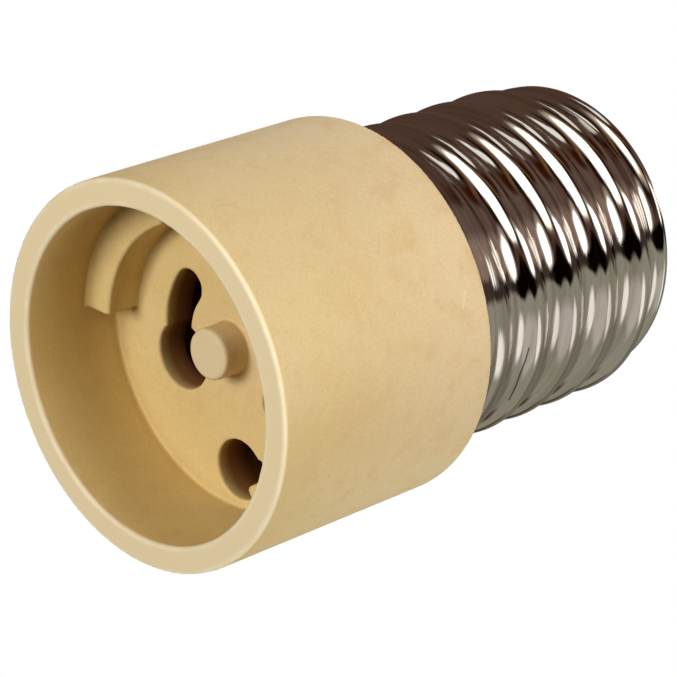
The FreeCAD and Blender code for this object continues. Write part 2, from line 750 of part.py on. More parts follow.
def make_shell_solder(lead):
    """A bead that joins the lead's end to the shell's wall."""
    end_radius = evaluate(ROOT_BORE) - size("lead_radius") - size("shell_joint_gap")
    end_height = evaluate(NECK_END) + size("shell_joint_rise")
    turn = math.radians(evaluate(SLOT_END_ANGLE) + barrel_angle())
    place = FreeCAD.Vector(end_radius * math.cos(turn), end_radius * math.sin(turn), end_height)
    ball = Part.makeSphere(size("solder_radius"), place)
    wall = Part.makeCylinder(evaluate(ROOT_BORE), 2 * size("solder_radius"),
                             FreeCAD.Vector(0, 0, end_height - size("solder_radius")))
    solder = doc.addObject("Part::Feature", "shell_solder")
    solder.Label = "shell_solder"
    solder.Shape = ball.common(wall).cut(lead.Shape)
    return solder


def make_pieces():
    shell_lead = make_shell_lead()
    return [
        make_ceramic_body(),
        make_screw_shell(),
        make_end_insulator(),
        make_centre_contact(),
        make_centre_solder(),
        make_contact_plate(),
        make_plate_cement(),
        make_pin_clip("shell_pin_clip", 0),
        make_pin_clip("centre_pin_clip", 1),
        make_clip_rivets(),
        make_terminal("shell_terminal", 0),
        make_terminal("centre_terminal", 1),
        shell_lead,
        make_centre_lead(),
        make_shell_solder(shell_lead),
    ]


def check_document():
    doc.recompute()
    for item in doc.Objects:
        if "Invalid" in item.State or "Error" in item.State:
            raise RuntimeError("%s is %s" % (item.Label, item.State))


def export(pieces):
    os.makedirs("parts", exist_ok=True)
    for piece in pieces:
        shape = piece.Shape
        if shape.isNull() or not shape.isValid() or shape.Volume <= 0:
            raise RuntimeError("bad shape in " + piece.Label)
        shape.exportStep("parts/%s.step" % piece.Label)
        print("%-16s solids %d volume %.1f" % (piece.Label, len(shape.Solids), shape.Volume))


pieces = make_pieces()
check_document()
export(pieces)
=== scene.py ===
import json
import math
from collections import namedtuple

import bmesh
import bpy
import numpy as np
from mathutils import Matrix, Vector


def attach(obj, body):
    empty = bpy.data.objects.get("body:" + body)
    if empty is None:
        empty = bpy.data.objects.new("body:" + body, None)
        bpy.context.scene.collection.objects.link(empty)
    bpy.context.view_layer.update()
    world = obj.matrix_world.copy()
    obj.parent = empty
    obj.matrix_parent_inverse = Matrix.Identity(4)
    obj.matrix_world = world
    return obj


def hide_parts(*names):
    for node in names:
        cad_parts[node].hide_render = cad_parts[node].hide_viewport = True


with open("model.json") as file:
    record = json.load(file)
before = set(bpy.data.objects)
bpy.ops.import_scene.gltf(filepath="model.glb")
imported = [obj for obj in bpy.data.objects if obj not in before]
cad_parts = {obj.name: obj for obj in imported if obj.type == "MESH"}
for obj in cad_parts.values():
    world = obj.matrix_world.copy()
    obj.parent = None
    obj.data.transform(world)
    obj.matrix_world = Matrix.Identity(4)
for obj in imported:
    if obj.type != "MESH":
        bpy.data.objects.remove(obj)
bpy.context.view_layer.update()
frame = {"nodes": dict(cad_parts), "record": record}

# Lamp socket adapter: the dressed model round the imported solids.
# Shapes are worked out in millimetres in the same frame as the solids, and placed in metres.

MM = 0.001


# Camera, at the viewing angle that was fitted to the photograph

CAMERA_PLACE = Vector((286.69, -28.38, -225.89)) * MM
CAMERA_RIGHT = Vector((0.65780, 0.26967, 0.70326))
CAMERA_DOWN = Vector((-0.12120, 0.95944, -0.25453))
FOCAL_PIXELS = 3269.5
FRAME_PIXELS = 677.0
SENSOR_WIDTH = 36.0


def make_camera():
    data = bpy.data.cameras.new("camera")
    data.sensor_width = SENSOR_WIDTH
    data.lens = SENSOR_WIDTH * FOCAL_PIXELS / FRAME_PIXELS
    data.clip_start = 0.01
    data.clip_end = 10.0
    camera = bpy.data.objects.new("camera", data)
    bpy.context.scene.collection.objects.link(camera)
    right = CAMERA_RIGHT.normalized()
    backward = right.cross(-CAMERA_DOWN).normalized()
    up = backward.cross(right)
    turn = Matrix((right, up, backward)).transposed().to_4x4()
    camera.matrix_world = Matrix.Translation(CAMERA_PLACE) @ turn
    bpy.context.scene.camera = camera
    return right, up, backward


PHOTO_RIGHT, PHOTO_UP, PHOTO_BACK = make_camera()


def photo_direction(right, up, toward_camera):
    """A direction given along the photograph's own right, up and nearer, in the frame's axes."""
    return (PHOTO_RIGHT * right + PHOTO_UP * up + PHOTO_BACK * toward_camera).normalized()


# Rounded solids from distance fields: numpy functions of x, y, z in millimetres


def grid_of(low, high, step):
    counts = [int(math.ceil((high[axis] - low[axis]) / step)) + 1 for axis in range(3)]
    lines = [low[axis] + step * np.arange(counts[axis]) for axis in range(3)]
    return np.meshgrid(*lines, indexing="ij")


def soft_join(first, second, reach):
    """Union of two fields with a fillet of about this reach."""
    blend = np.clip(0.5 + 0.5 * (second - first) / reach, 0.0, 1.0)
    return second + (first - second) * blend - reach * blend * (1.0 - blend)


def soft_cut(body, tool, reach):
    """The body less the tool, with the edge between them rounded."""
    return -soft_join(-body, tool, reach)


def soft_common(first, second, reach):
    return -soft_join(-first, -second, reach)


def edge_cuts(field, cells, axis, offset):
    """Where the zero surface cuts one edge of each cell, in grid steps, and which edges it cuts."""
    start = cells + offset
    end = start.copy()
    end[:, axis] += 1
    at_start = field[start[:, 0], start[:, 1], start[:, 2]]
    at_end = field[end[:, 0], end[:, 1], end[:, 2]]
    cut = (at_start < 0) != (at_end < 0)
    share = np.where(cut, at_start / np.where(cut, at_start - at_end, 1.0), 0.0)
    place = start.astype(float)
    place[:, axis] += share
    return place, cut


def net_vertices(field, cells, low, step):
    """One vertex in each cell, in the middle of the places where the surface cuts its edges."""
    total = np.zeros((len(cells), 3))
    hits = np.zeros(len(cells))
    for axis in range(3):
        others = [other for other in range(3) if other != axis]
        for first in (0, 1):
            for second in (0, 1):
                offset = np.zeros(3, dtype=np.int64)
                offset[others[0]] = first
                offset[others[1]] = second
                place, cut = edge_cuts(field, cells, axis, offset)
                total[cut] += place[cut]
                hits[cut] += 1
    return np.array(low) + step * total / hits[:, None]


def net_quads(inside, index, axis):
    """A quad across each grid edge along this axis that the surface cuts, facing outward."""
    first, second = [(1, 2), (2, 0), (0, 1)][axis]
    lower = [slice(None)] * 3
    upper = [slice(None)] * 3
    lower[axis] = slice(0, -1)
    upper[axis] = slice(1, None)
    places = np.argwhere(inside[tuple(lower)] != inside[tuple(upper)])
    keep = np.ones(len(places), dtype=bool)
    for other in (first, second):
        keep &= (places[:, other] > 0) & (places[:, other] < inside.shape[other] - 1)
    places = places[keep]
    ring = []
    for back_first, back_second in ((1, 1), (0, 1), (0, 0), (1, 0)):
        cell = places.copy()
        cell[:, first] -= back_first
        cell[:, second] -= back_second
        ring.append(index[cell[:, 0], cell[:, 1], cell[:, 2]])
    faces = np.stack(ring, axis=1)
    leaving = inside[places[:, 0], places[:, 1], places[:, 2]]
    faces[~leaving] = faces[~leaving][:, ::-1]
    return faces


def surface_net(field, low, step):
    """Vertices and quads of the field's zero surface, one vertex in each cell that it crosses."""
    inside = field < 0.0
    corner = [inside[i:inside.shape[0] - 1 + i, j:inside.shape[1] - 1 + j, k:inside.shape[2] - 1 + k]
              for i in (0, 1) for j in (0, 1) for k in (0, 1)]
    count = sum(part.astype(np.int8) for part in corner)
    crossed = (count > 0) & (count < len(corner))
    cells = np.argwhere(crossed)
    index = np.full(crossed.shape, -1, dtype=np.int64)
    index[crossed] = np.arange(len(cells))
    quads = [net_quads(inside, index, axis) for axis in range(3)]
    return net_vertices(field, cells, low, step), np.concatenate(quads)


# Mesh objects


def mesh_object(name, vertices, faces):
    mesh = bpy.data.meshes.new(name)
    faces = np.asarray(faces)
    mesh.vertices.add(len(vertices))
    mesh.vertices.foreach_set("co", (np.asarray(vertices) * MM).ravel())
    mesh.loops.add(faces.size)
    mesh.loops.foreach_set("vertex_index", faces.ravel())
    mesh.polygons.add(len(faces))
    mesh.polygons.foreach_set("loop_start", np.arange(len(faces)) * faces.shape[1])
    mesh.polygons.foreach_set("use_smooth", np.ones(len(faces), dtype=bool))
    mesh.update(calc_edges=True)
    mesh.validate()
    piece = bpy.data.objects.new(name, mesh)
    bpy.context.scene.collection.objects.link(piece)
    return piece


def dissolve_flats(piece, degrees):
    """Joins faces that lie in one plane, so that flats and straight walls keep few faces."""
    work = bmesh.new()
    work.from_mesh(piece.data)
    bmesh.ops.dissolve_limit(work, angle_limit=math.radians(degrees), verts=work.verts, edges=work.edges)
    bmesh.ops.triangulate(work, faces=[face for face in work.faces if len(face.verts) > 4])
    work.to_mesh(piece.data)
    work.free()
    piece.data.polygons.foreach_set("use_smooth", np.ones(len(piece.data.polygons), dtype=bool))


def vertex_places(piece):
    places = np.empty(len(piece.data.vertices) * 3)
    piece.data.vertices.foreach_get("co", places)
    return places.reshape(-1, 3) / MM


def shade_by_field(piece, field, reach):
    """Vertex normals from the field's slope over this reach, so that rounded edges shade without facets."""
    places = vertex_places(piece)
    slope = np.empty_like(places)
    for axis in range(3):
        ahead = places.copy()
        behind = places.copy()
        ahead[:, axis] += reach
        behind[:, axis] -= reach
        slope[:, axis] = field(*ahead.T) - field(*behind.T)
    slope /= np.linalg.norm(slope, axis=1)[:, None]
    piece.data.normals_split_custom_set_from_vertices(slope.tolist())


# Ceramic body: one moulding, with every edge that shows softly rounded

BARREL_RADIUS = 23.0
BARREL_LENGTH = 33.1
CUP_RADIUS = 19.7
CUP_DEPTH = 13.9
FLOOR_BACK = CUP_DEPTH + 4.5
POST_RADIUS = 3.1
POST_TOP = CUP_DEPTH - 3.8
KEY_INNER_RADIUS = 15.65
KEY_TOP = CUP_DEPTH - 4.9
KEY_SWEEP = 64.0
KEY_ANGLES = (205.4, 20.2)
PIN_CIRCLE = 9.0
ENTRY_RADIUS = 4.05
PIN_SLOT_WIDTH = 4.15
PIN_SLOT_TRAVEL = 60.0
ENTRY_ANGLE = 180.0
LOCK_CIRCLE = 15.07
LOCK_RADIUS = 3.65
LOCK_ANGLE = 108.1
LOCK_BOTTOM = CUP_DEPTH + 14.0
LOCK_SLOT_RADIUS = 14.9
LOCK_SLOT_WIDTH = 2.8
LOCK_SLOT_SWEEP = 12.0
CHAMBER_RADIUS = 13.6
PLATE_SEAT_RADIUS = 14.9
PLATE_SEAT = FLOOR_BACK + 13.6
REGISTER_RADIUS = 19.15
REGISTER_END = BARREL_LENGTH + 5.0
NECK_RADIUS = 17.35
NECK_END = BARREL_LENGTH + 15.0

# Ends that don't show: keys and post end inside the wall and the floor, the neck begins inside the barrel,
# and cuts start in the open cup and run a little past the face that they open
WALL_MIDDLE = (BARREL_RADIUS + CUP_RADIUS) / 2
FLOOR_MIDDLE = (CUP_DEPTH + FLOOR_BACK) / 2
NECK_ROOT = 20.0
CUT_START = POST_TOP - 6.0
CUT_PAST = 1.0

# How far each edge is rounded, and each inner corner filled
RIM_ROUND = 0.45
BACK_ROUND = 0.55
CUP_ROUND = 0.5
KEY_ROUND = 0.45
KEY_FILLET = 0.25
POST_ROUND = 0.6
POST_FILLET = 0.35
KEYHOLE_ROUND = 0.4
LOCK_ROUND = 0.35

# Grid of the field. Its margins differ, so that no flat face falls in one of its planes
CELL = 0.3
MARGIN_X = 0.71
MARGIN_Y = 0.72
MARGIN_Z = 0.73
FLAT_WITHIN_DEGREES = 0.35
SLOPE_REACH = 0.04


def polar_place(radius, degrees):
    return radius * math.cos(math.radians(degrees)), radius * math.sin(math.radians(degrees))


def past_ray(x, y, degrees):
    """Distance past the ray at this angle, growing with the angle."""
    turn = math.radians(degrees)
    return y * math.cos(turn) - x * math.sin(turn)


def round_hole(x, y, radius, circle, degrees):
    centre_x, centre_y = polar_place(circle, degrees)
    return np.hypot(x - centre_x, y - centre_y) - radius


def arc_slot(x, y, circle, width, first, last):
    """A slot of even width along an arc, with round ends."""
    on_arc = np.abs(np.hypot(x, y) - circle) - width / 2
    between = (past_ray(x, y, first) >= 0) & (past_ray(x, y, last) <= 0)
    ends = np.minimum(round_hole(x, y, width / 2, circle, first), round_hole(x, y, width / 2, circle, last))
    return np.where(between, on_arc, ends)


def key_block(x, y, z, radius, start):
    ends = np.maximum(-past_ray(x, y, start), past_ray(x, y, start + KEY_SWEEP))
    block = soft_common(KEY_INNER_RADIUS - radius, KEY_TOP - z, KEY_ROUND)
    return soft_common(block, ends, KEY_ROUND)


def keyhole_outline(x, y):
    entry = round_hole(x, y, ENTRY_RADIUS, PIN_CIRCLE, ENTRY_ANGLE)
    slot = arc_slot(x, y, PIN_CIRCLE, PIN_SLOT_WIDTH, ENTRY_ANGLE, ENTRY_ANGLE + PIN_SLOT_TRAVEL)
    return np.minimum(entry, slot)


def lock_outline(x, y):
    hole = round_hole(x, y, LOCK_RADIUS, LOCK_CIRCLE, LOCK_ANGLE)
    slot = arc_slot(x, y, LOCK_SLOT_RADIUS, LOCK_SLOT_WIDTH, LOCK_ANGLE - LOCK_SLOT_SWEEP, LOCK_ANGLE)
    return np.minimum(hole, slot)


def barrel_field(radius, z):
    """The plain outside: barrel, register and neck."""
    barrel = soft_common(radius - BARREL_RADIUS, -z, RIM_ROUND)
    barrel = soft_common(barrel, z - BARREL_LENGTH, BACK_ROUND)
    register = np.maximum(radius - REGISTER_RADIUS, z - REGISTER_END)
    neck = np.maximum(radius - NECK_RADIUS, z - NECK_END)
    return np.minimum(barrel, np.maximum(np.minimum(register, neck), NECK_ROOT - z))


def add_keys_and_post(body, x, y, z, radius):
    for start in KEY_ANGLES:
        key = np.maximum(key_block(x, y, z, radius, start), radius - WALL_MIDDLE)
        body = soft_join(body, np.maximum(key, z - FLOOR_MIDDLE), KEY_FILLET)
    post = soft_common(radius - POST_RADIUS, POST_TOP - z, POST_ROUND)
    return soft_join(body, np.maximum(post, z - FLOOR_MIDDLE), POST_FILLET)


def cut_chamber(body, radius, z):
    """The room for the contacts behind the floor, and the wider seat of their plate."""
    chamber = np.maximum(np.maximum(radius - CHAMBER_RADIUS, FLOOR_BACK - z), z - PLATE_SEAT - CUT_PAST)
    seat = np.maximum(radius - PLATE_SEAT_RADIUS, PLATE_SEAT - z)
    return np.maximum(body, -np.minimum(chamber, seat))


def cut_holes(body, x, y, z):
    """The keyholes go through the floor and the outer holes into the wall, each pair half a turn apart."""
    through_floor = np.maximum(CUT_START - z, z - FLOOR_BACK - CUT_PAST)
    into_wall = np.maximum(CUT_START - z, z - LOCK_BOTTOM)
    for side in (1.0, -1.0):
        keyhole = np.maximum(keyhole_outline(side * x, side * y), through_floor)
        body = soft_cut(body, keyhole, KEYHOLE_ROUND)
        lock = np.maximum(lock_outline(side * x, side * y), into_wall)
        body = soft_cut(body, lock, LOCK_ROUND)
    return body


def ceramic_field(x, y, z):
    radius = np.hypot(x, y)
    cup = soft_common(radius - CUP_RADIUS, z - CUP_DEPTH, CUP_ROUND)
    body = soft_cut(barrel_field(radius, z), cup, CUP_ROUND)
    body = add_keys_and_post(body, x, y, z, radius)
    body = cut_chamber(body, radius, z)
    return cut_holes(body, x, y, z)


def make_ceramic_body():
    step = CELL
    low = (-BARREL_RADIUS - MARGIN_X, -BARREL_RADIUS - MARGIN_Y, -MARGIN_Z)
    high = (BARREL_RADIUS + MARGIN_X, BARREL_RADIUS + MARGIN_Y, NECK_END + MARGIN_Z)
    vertices, faces = surface_net(ceramic_field(*grid_of(low, high, step)), low, step)
    piece = mesh_object("ceramic_moulding", vertices, faces)
    dissolve_flats(piece, FLAT_WITHIN_DEGREES)
    shade_by_field(piece, ceramic_field, SLOPE_REACH)
    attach(piece, "root")
    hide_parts("ceramic_body")
    return piece


# Screw shell: thin rolled sheet with a rounded right-hand thread

THREAD_RADIUS = 19.75
THREAD_DEPTH = 1.5
THREAD_PITCH = 6.35
TROUGH_SHARE = 0.625
FLANK_SHARPNESS = 3.4
THREAD_START = 36.7
THREAD_FULL = 40.1
FIRST_TROUGH = 41.87
SHELL_START = BARREL_LENGTH
SHELL_END = 69.3
TAPER_LENGTH = 3.8
TAPER_DROP = 0.8
FADE_START = 67.5
FADE_LENGTH = 3.5
TRUE_END_RADIUS = 18.35
SHELL_WALL = 0.4
CURL_RADIUS = 1.6
CURL_SWEEP = math.radians(80.0)
CURL_LIP = 2.0

# Mesh of the sheet: sections round the axis, rows along each, and how few of the rows the inner face keeps
SECTIONS = 240
ROWS = 220
CURL_ROWS = 14
INNER_EVERY = 3


def smooth_step(value):
    value = np.clip(value, 0.0, 1.0)
    return value * value * (3.0 - 2.0 * value)


def swell(share):
    """Rise of a curve that starts flat and steepens toward its end, as a share of its whole rise."""
    bend = FLANK_SHARPNESS - 1.0

    def risen(reach):
        return -reach / bend - FLANK_SHARPNESS / bend ** 2 * np.log(1.0 - bend / FLANK_SHARPNESS * reach)

    return risen(np.clip(share, 0.0, 1.0)) / risen(1.0)


def thread_rise(along):
    """Height above the trough, at a distance along the axis from a trough: a wide trough, a short steep
    flank and a rounded crest."""
    half = THREAD_PITCH / 2.0
    offset = np.mod(along, THREAD_PITCH)
    offset = np.minimum(offset, THREAD_PITCH - offset) / half
    low = TROUGH_SHARE * swell(offset / TROUGH_SHARE)
    high = 1.0 - (1.0 - TROUGH_SHARE) * swell((1.0 - offset) / (1.0 - TROUGH_SHARE))
    return THREAD_DEPTH * np.where(offset <= TROUGH_SHARE, low, high)


def shell_radius(height, turn):
    """Outer radius at a height and an angle, in turns, round the axis."""
    run_in = smooth_step((height - THREAD_START) / (THREAD_FULL - THREAD_START))
    run_out = 1.0 - smooth_step((height - FADE_START) / FADE_LENGTH)
    taper = smooth_step(1.0 - (SHELL_END - height) / TAPER_LENGTH)
    groove = THREAD_DEPTH - thread_rise(height - FIRST_TROUGH - THREAD_PITCH * turn)
    return THREAD_RADIUS - TAPER_DROP * taper - groove * run_in * run_out


def shell_line(turn, rows, curl_rows):
    """The outer face's section at one angle, as heights and radii, from the barrel to the lip.

    The thread leaves the wall's end a little out of round, and the curl brings it back to a true circle."""
    heights = np.linspace(SHELL_START, SHELL_END, rows)
    radii = shell_radius(heights, turn)
    bend = np.linspace(0.0, CURL_SWEEP, curl_rows + 1)[1:]
    curl_heights = SHELL_END + CURL_RADIUS * np.sin(bend)
    settled = smooth_step(bend / CURL_SWEEP)
    curl_radii = radii[-1] + (TRUE_END_RADIUS - radii[-1]) * settled - CURL_RADIUS * (1.0 - np.cos(bend))
    reach = CURL_LIP * np.array([0.5, 1.0])
    lip_heights = curl_heights[-1] + reach * math.cos(CURL_SWEEP)
    lip_radii = curl_radii[-1] - reach * math.sin(CURL_SWEEP)
    return (np.concatenate([heights, curl_heights, lip_heights]),
            np.concatenate([radii, curl_radii, lip_radii]))


def inside_line(heights, radii, wall):
    """The section moved inward along its normals, which keeps the sheet's thickness even."""
    run = np.gradient(heights)
    rise = np.gradient(radii)
    length = np.hypot(run, rise)
    shift_height = wall * rise / length
    shift_height[0] = 0.0
    return heights + shift_height, radii - wall * run / length


def shell_ring(turn, rows, curl_rows):
    """The sheet's closed section at one angle: outer face, lip and inner face.

    The inner face keeps fewer rows, and ends level with the outer one at the barrel."""
    heights, radii = shell_line(turn, rows, curl_rows)
    inner_heights, inner_radii = inside_line(heights, radii, SHELL_WALL)
    lip_height = (heights[-1] + inner_heights[-1]) / 2
    lip_radius = (radii[-1] + inner_radii[-1]) / 2 - SHELL_WALL / 2
    ring_heights = np.concatenate([heights, [lip_height], inner_heights[::-INNER_EVERY]])
    ring_radii = np.concatenate([radii, [lip_radius], inner_radii[::-INNER_EVERY]])
    ring_heights[-1] = heights[0]
    angle = 2.0 * math.pi * turn
    return np.stack([ring_radii * math.cos(angle), ring_radii * math.sin(angle), ring_heights], axis=1)


def closed_quads(sections, count):
    """Quads of a surface that closes both round the axis and round each section."""
    here = np.arange(sections)[:, None] * count
    beside = ((np.arange(sections) + 1) % sections)[:, None] * count
    along = np.arange(count)[None, :]
    further = (along + 1) % count
    quads = np.stack([here + along, beside + along, beside + further, here + further], axis=-1)
    return quads.reshape(-1, 4)


def make_screw_shell():
    sections, rows, curl_rows = SECTIONS, ROWS, CURL_ROWS
    rings = [shell_ring(index / sections, rows, curl_rows) for index in range(sections)]
    piece = mesh_object("rolled_shell", np.concatenate(rings), closed_quads(sections, len(rings[0])))
    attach(piece, "root")
    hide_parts("screw_shell")
    return piece


# Node helpers


class Board:
    """Adds nodes to a tree and joins them, so that a material reads as a short list of steps."""

    def __init__(self, tree):
        self.nodes = tree.nodes
        self.links = tree.links

    def node(self, kind, inputs=None, **settings):
        made = self.nodes.new(kind)
        for name, value in settings.items():
            setattr(made, name, value)
        for name, value in (inputs or {}).items():
            self.feed(made.inputs[name], value)
        return made

    def feed(self, socket, value):
        if isinstance(value, bpy.types.NodeSocket):
            self.links.new(value, socket)
        else:
            socket.default_value = value

    def math(self, operation, *values):
        made = self.nodes.new("ShaderNodeMath")
        made.operation = operation
        for socket, value in zip(made.inputs, values):
            self.feed(socket, value)
        return made.outputs[0]

    def ramp(self, value, low, high, out_low=0.0, out_high=1.0):
        """Turns low into out_low and high into out_high, smoothly, and holds both beyond."""
        made = self.nodes.new("ShaderNodeMapRange")
        made.interpolation_type = "SMOOTHSTEP"
        ends = {"From Min": low, "From Max": high, "To Min": out_low, "To Max": out_high}
        for name, number in ends.items():
            made.inputs[name].default_value = number
        self.feed(made.inputs["Value"], value)
        return made.outputs["Result"]

    def span(self, value, low, high, out_low=0.0, out_high=1.0):
        """A ramp between two lengths given in millimetres."""
        return self.ramp(value, low * MM, high * MM, out_low, out_high)

    def product(self, first, *others):
        for other in others:
            first = self.math("MULTIPLY", first, other)
        return first

    def vector(self, operation, inputs, output="Vector"):
        return self.node("ShaderNodeVectorMath", inputs, operation=operation).outputs[output]

    def mix(self, share, first, second, blend="MIX"):
        made = self.nodes.new("ShaderNodeMix")
        made.data_type = "RGBA"
        made.blend_type = blend
        self.feed(made.inputs["Factor"], share)
        for index, value in ((6, first), (7, second)):
            if not isinstance(value, bpy.types.NodeSocket):
                value = (*value, 1.0)
            self.feed(made.inputs[index], value)
        return made.outputs[2]

    def noise(self, place, scale, detail=2.0, roughness=0.5):
        made = self.node("ShaderNodeTexNoise", {"Vector": place, "Scale": scale, "Detail": detail,
                                                "Roughness": roughness})
        return made.outputs["Fac"]

    def relief(self, height, strength, depth, under=None):
        """Small relief, its depth in millimetres, on top of another one if that is given."""
        made = self.node("ShaderNodeBump", {"Height": height, "Strength": strength, "Distance": depth * MM})
        if under is not None:
            self.feed(made.inputs["Normal"], under)
        return made.outputs["Normal"]


def linear(red, green, blue):
    """A colour as it shows on a screen, 0 to 255, in linear light."""

    def one(value):
        share = value / 255.0
        return share / 12.92 if share <= 0.04045 else ((share + 0.055) / 1.055) ** 2.4

    return one(red), one(green), one(blue)


# Materials


def new_material(name):
    material = bpy.data.materials.new(name)
    material.use_nodes = True
    board = Board(material.node_tree)
    shader = material.node_tree.nodes["Principled BSDF"]
    place = board.node("ShaderNodeTexCoord").outputs["Object"]
    return material, board, shader, place


def stretched(board, place, across, along):
    """The place with its scale changed across and along the axis."""
    made = board.node("ShaderNodeMapping", {"Vector": place, "Scale": (across, across, along)})
    return made.outputs["Vector"]


# Share of a speck's or a scuff's width that is full, before its soft edge
SPECK_CORE = 0.6
SCUFF_CORE = 0.4


def specks(board, place, size, cell, share):
    """Round dots of about this size, in this share of the cells of a scattered grid, in millimetres."""
    cells = board.node("ShaderNodeTexVoronoi", {"Vector": place, "Scale": 1.0 / (cell * MM)})
    near = board.ramp(cells.outputs["Distance"], size / cell * SPECK_CORE, size / cell, 1.0, 0.0)
    pick = board.node("ShaderNodeSeparateColor", {"Color": cells.outputs["Color"]}).outputs[0]
    return board.product(near, board.math("LESS_THAN", pick, share))


def scuff(board, place, start, end, width):
    """A thin mark between two places, given in millimetres."""
    start = Vector(start) * MM
    along = Vector(end) * MM - start
    away = board.vector("SUBTRACT", {0: place, 1: start})
    run = board.vector("DOT_PRODUCT", {0: away, 1: along}, "Value")
    share = board.node("ShaderNodeClamp", {"Value": board.math("DIVIDE", run, along.length_squared)})
    nearest = board.vector("SCALE", {0: along, "Scale": share.outputs[0]})
    off = board.vector("DISTANCE", {0: away, 1: nearest}, "Value")
    return board.span(off, width * SCUFF_CORE, width, 1.0, 0.0)


CREAM_FRONT = linear(220, 191, 133)
CREAM_BACK = linear(228, 201, 156)
CLOUD_TONE = linear(232, 207, 160)
PATCH_TONE = linear(218, 185, 132)
STAIN_TONE = linear(219, 181, 118)
GRAIN_TONE = linear(176, 146, 98)
RIM_TONE = linear(242, 221, 178)
# Painted highlight on the rim's rounded edges, partly wear
EDGE_HIGHLIGHT_AND_WEAR_TONE = linear(248, 236, 205)
POST_TONE = linear(234, 214, 174)
SPECK_TONE = linear(112, 84, 52)
SCUFF_TONE = linear(244, 228, 196)

# These multiply the colour under them
CUP_TINT = (1.02, 1.03, 0.80)
CUP_WALL_TINT = (1.0, 0.99, 0.92)
# Painted shade in the holes, and darker still deeper in, where little light reaches
PAINTED_HOLE_SHADE = (0.42, 0.25, 0.16)
PAINTED_DEEP_HOLE_SHADE = (0.30, 0.22, 0.18)
# Painted shade in the cup's nooks, set by ambient occlusion
NOOK_SHADE_TINT = (0.66, 0.58, 0.48)

# Where the rim's two rounded edges carry a painted highlight and wear, and the rest in millimetres and
# shares
INNER_EDGE_RADIUS = CUP_RADIUS + 0.35
OUTER_EDGE_RADIUS = BARREL_RADIUS - 0.3
# Reach of the ambient occlusion that sets the painted shade in the nooks
NOOK_SHADE_REACH = 4.0
SCUFF = ((22.99, 0.7, 29.9), (22.88, 2.3, 29.0))
SCUFF_WIDTH = 0.22
SCUFF_STRENGTH = 0.35
SPECK_SIZE = 0.2
SPECK_SPACING = 4.2
SPECK_SHARE = 0.12
SPECK_STRENGTH = 0.7


def distance_from_axis(board, axes):
    squares = [board.product(axes[name], axes[name]) for name in ("X", "Y")]
    return board.math("SQRT", board.math("ADD", *squares))


def fired_clay(board, place, height, patches, grain):
    """The body's cream, a little paler toward the back, with clouds, patches, stains and grain."""
    clouds = board.noise(place, 70.0, 3.0, 0.55)
    stains = board.noise(place, 150.0, 2.0, 0.4)
    colour = board.mix(board.span(height, 3.0, 30.0), CREAM_FRONT, CREAM_BACK)
    colour = board.mix(board.ramp(clouds, 0.35, 0.65, 0.0, 0.5), colour, CLOUD_TONE)
    colour = board.mix(board.ramp(patches, 0.48, 0.70, 0.0, 0.55), colour, PATCH_TONE)
    colour = board.mix(board.ramp(stains, 0.60, 0.75, 0.0, 0.3), colour, STAIN_TONE)
    return board.mix(board.ramp(grain, 0.3, 0.75, 0.0, 0.16), colour, GRAIN_TONE)


def pale_rim(board, colour, radius, height, patches):
    """The ground rim is paler than the body, and its two rounded edges are paler still: a painted
    highlight, partly wear.
    """
    colour = board.mix(board.span(height, 0.25, 0.6, 0.8, 0.0), colour, RIM_TONE)
    inner_edge = board.math("ABSOLUTE", board.math("SUBTRACT", radius, INNER_EDGE_RADIUS * MM))
    outer_edge = board.math("ABSOLUTE", board.math("SUBTRACT", radius, OUTER_EDGE_RADIUS * MM))
    # Painted highlight along both rounded edges of the rim, partly wear, uneven with the patches
    edge_highlight_and_wear = board.product(board.span(board.math("MINIMUM", inner_edge, outer_edge), 0.1, 0.45, 1.0, 0.0),
                           board.ramp(patches, 0.35, 0.65, 0.1, 0.5),
                           board.span(height, 0.2, 0.6, 1.0, 0.0))
    return board.mix(edge_highlight_and_wear, colour, EDGE_HIGHLIGHT_AND_WEAR_TONE)


def toned_cup(board, colour, radius, height):
    """In the cup: a paler post, a browner floor and wall, painted shade in the holes, and painted shade in
    the nooks where ambient occlusion is high.
    """
    on_post = board.product(board.span(radius, POST_RADIUS, POST_RADIUS + 0.3, 0.6, 0.0),
                            board.span(height, POST_TOP, POST_TOP + 2.0, 1.0, 0.0))
    colour = board.mix(on_post, colour, POST_TONE)
    within = board.span(radius, CUP_RADIUS - 0.1, CUP_RADIUS + 0.5, 1.0, 0.0)
    inside = board.product(within, board.span(height, 0.5, 1.2))
    off_post = board.span(radius, POST_RADIUS, POST_RADIUS + 4.0, 0.0, 0.6)
    at_wall = board.span(radius, CUP_RADIUS - 1.5, CUP_RADIUS - 0.3)
    # Painted shade on the hole walls, darker with depth
    in_hole = board.span(height, CUP_DEPTH + 0.1, CUP_DEPTH + 2.2)
    deep_in_hole = board.span(height, CUP_DEPTH + 2.0, CUP_DEPTH + 5.0)
    tints = ((inside, off_post, CUP_TINT), (inside, at_wall, CUP_WALL_TINT),
             (within, in_hole, PAINTED_HOLE_SHADE), (within, deep_in_hole, PAINTED_DEEP_HOLE_SHADE))
    for region, share, tint in tints:
        colour = board.mix(board.product(region, share), colour, tint, "MULTIPLY")
    # Painted shade in the nooks: darker where ambient occlusion finds other surfaces close
    nooks = board.node("ShaderNodeAmbientOcclusion", {"Distance": NOOK_SHADE_REACH * MM},
                       samples=8, only_local=True)
    nook_shade = board.product(inside, board.ramp(nooks.outputs["AO"], 0.25, 0.8, 0.75, 0.0))
    return board.mix(nook_shade, colour, NOOK_SHADE_TINT, "MULTIPLY")


